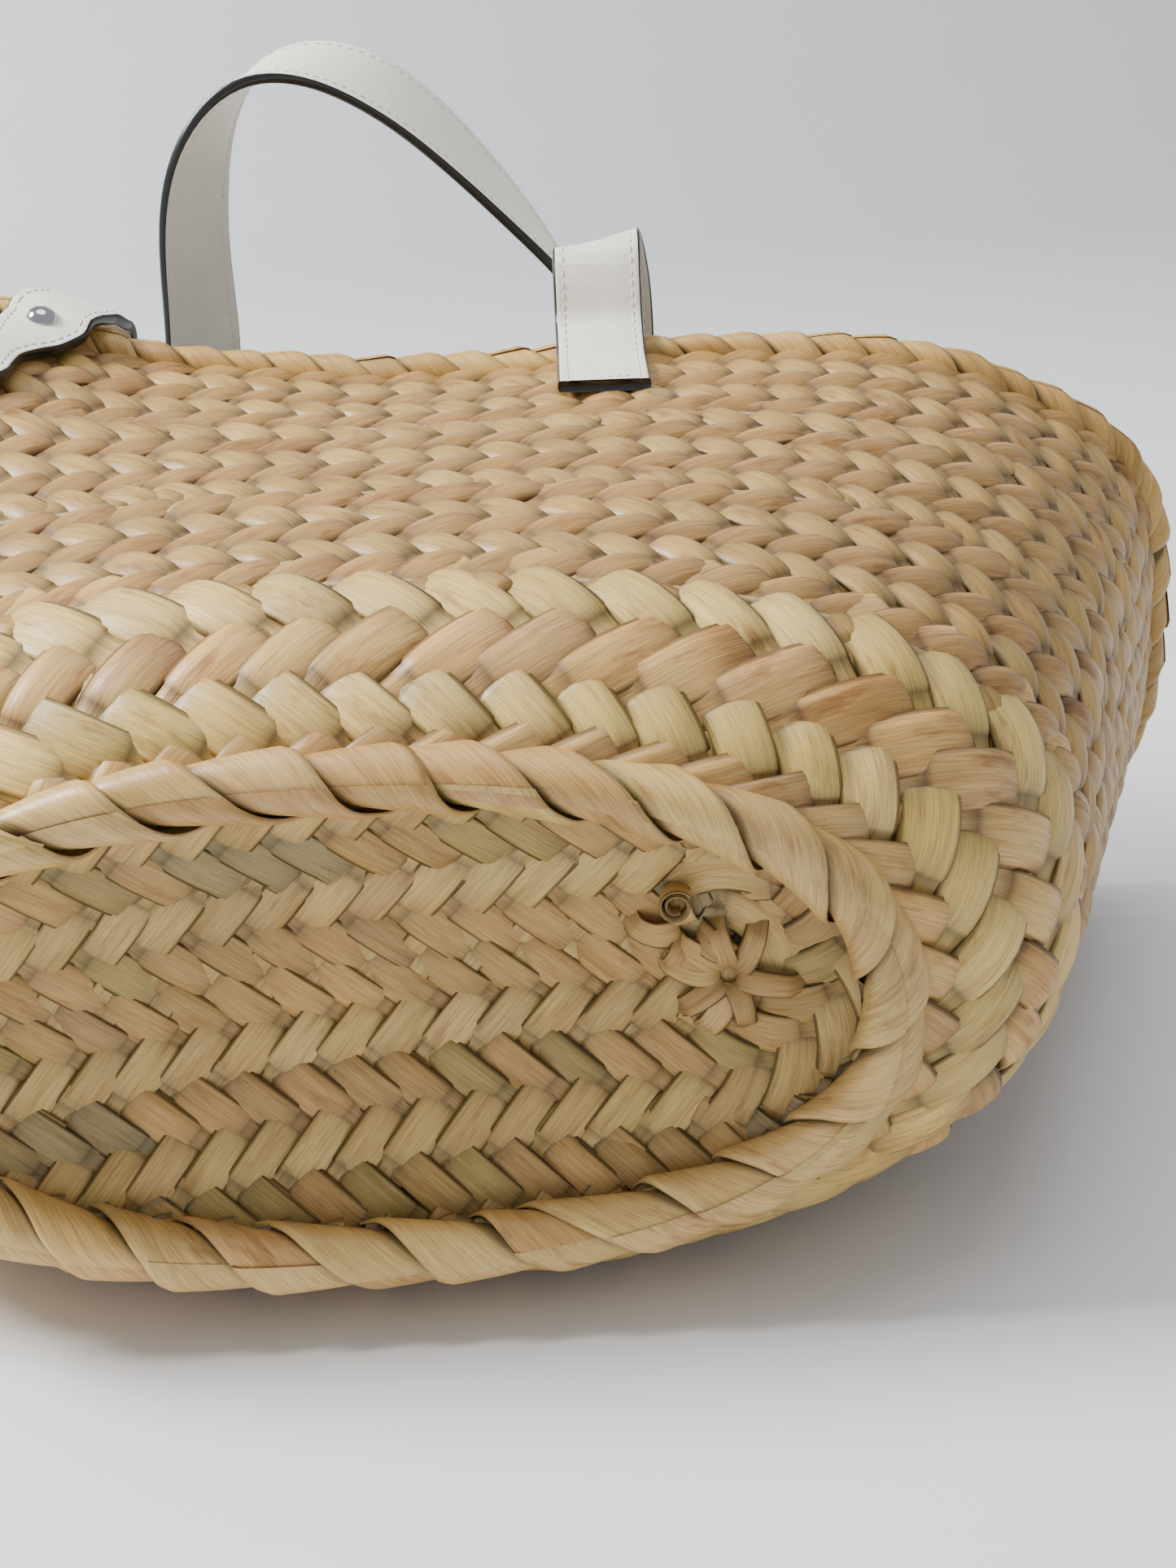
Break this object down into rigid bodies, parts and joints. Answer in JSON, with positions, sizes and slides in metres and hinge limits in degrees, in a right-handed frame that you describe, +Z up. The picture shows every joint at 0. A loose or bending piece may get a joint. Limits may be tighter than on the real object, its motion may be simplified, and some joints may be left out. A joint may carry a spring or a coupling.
{
  "type": "woven palm basket tote bag",
  "caption": "Oval woven palm-leaf beach basket lying on its side, with a wrapped foot ring and rim and two sewn leather strap handles that fold.",
  "frame": {"origin": "bottom centre of the bounding box, with the bag lying on its broad back side as it is laid on a table", "axes": "+X along the bag's length, to the right seen from the base; +Y from the oval base towards the mouth; +Z up from the table"},
  "size_m": [0.5092, 0.3194, 0.2999],
  "materials": {
    "palm_side": "matte woven palm leaf",
    "palm_base": "matte woven palm leaf",
    "palm_ring": "satin wrapped palm leaf",
    "palm_rim": "satin wrapped palm leaf",
    "lacing_cord": "matte twisted leaf cord",
    "leather": "smooth warm white",
    "leather_lining": "smooth warm white",
    "thread": "matte thread",
    "stud_metal": "polished nickel"
  },
  "bodies": {
    "basket": {"foot_ring": "palm_ring", "base_mat": "palm_base", "side_course_1": "palm_side", "side_course_2": "palm_side", "side_course_3": "palm_side", "side_course_4": "palm_side", "course_lacing": "lacing_cord", "rim_edging": "palm_rim", "front_right_end_outer": "leather", "front_right_end_lining": "leather_lining", "front_left_tab_outer": "leather", "front_left_tab_lining": "leather_lining", "back_left_end": "leather", "back_right_end": "leather", "front_right_patch": "leather_lining", "back_left_patch": "leather_lining", "back_right_patch": "leather_lining", "dome_studs": "stud_metal", "stud_backs": "stud_metal", "end_stitches": "thread"},
    "front_handle": {"front_handle_outer": "leather", "front_handle_lining": "leather_lining"},
    "back_handle": {"back_handle_outer": "leather", "back_handle_lining": "leather_lining"}
  },
  "joints": [
    {"name": "front_handle_fold", "type": "hinge", "parent": "basket", "child": "front_handle", "pos_m": [0.067, 0.085, 0.2088], "axis": [0.9962, -0.0605, -0.0635], "range_deg": [-30, 12]},
    {"name": "back_handle_fold", "type": "hinge", "parent": "basket", "child": "back_handle", "pos_m": [0, 0.102, 0.0034], "axis": [1, 0, 0], "range_deg": [-72, 0]}
  ]
}
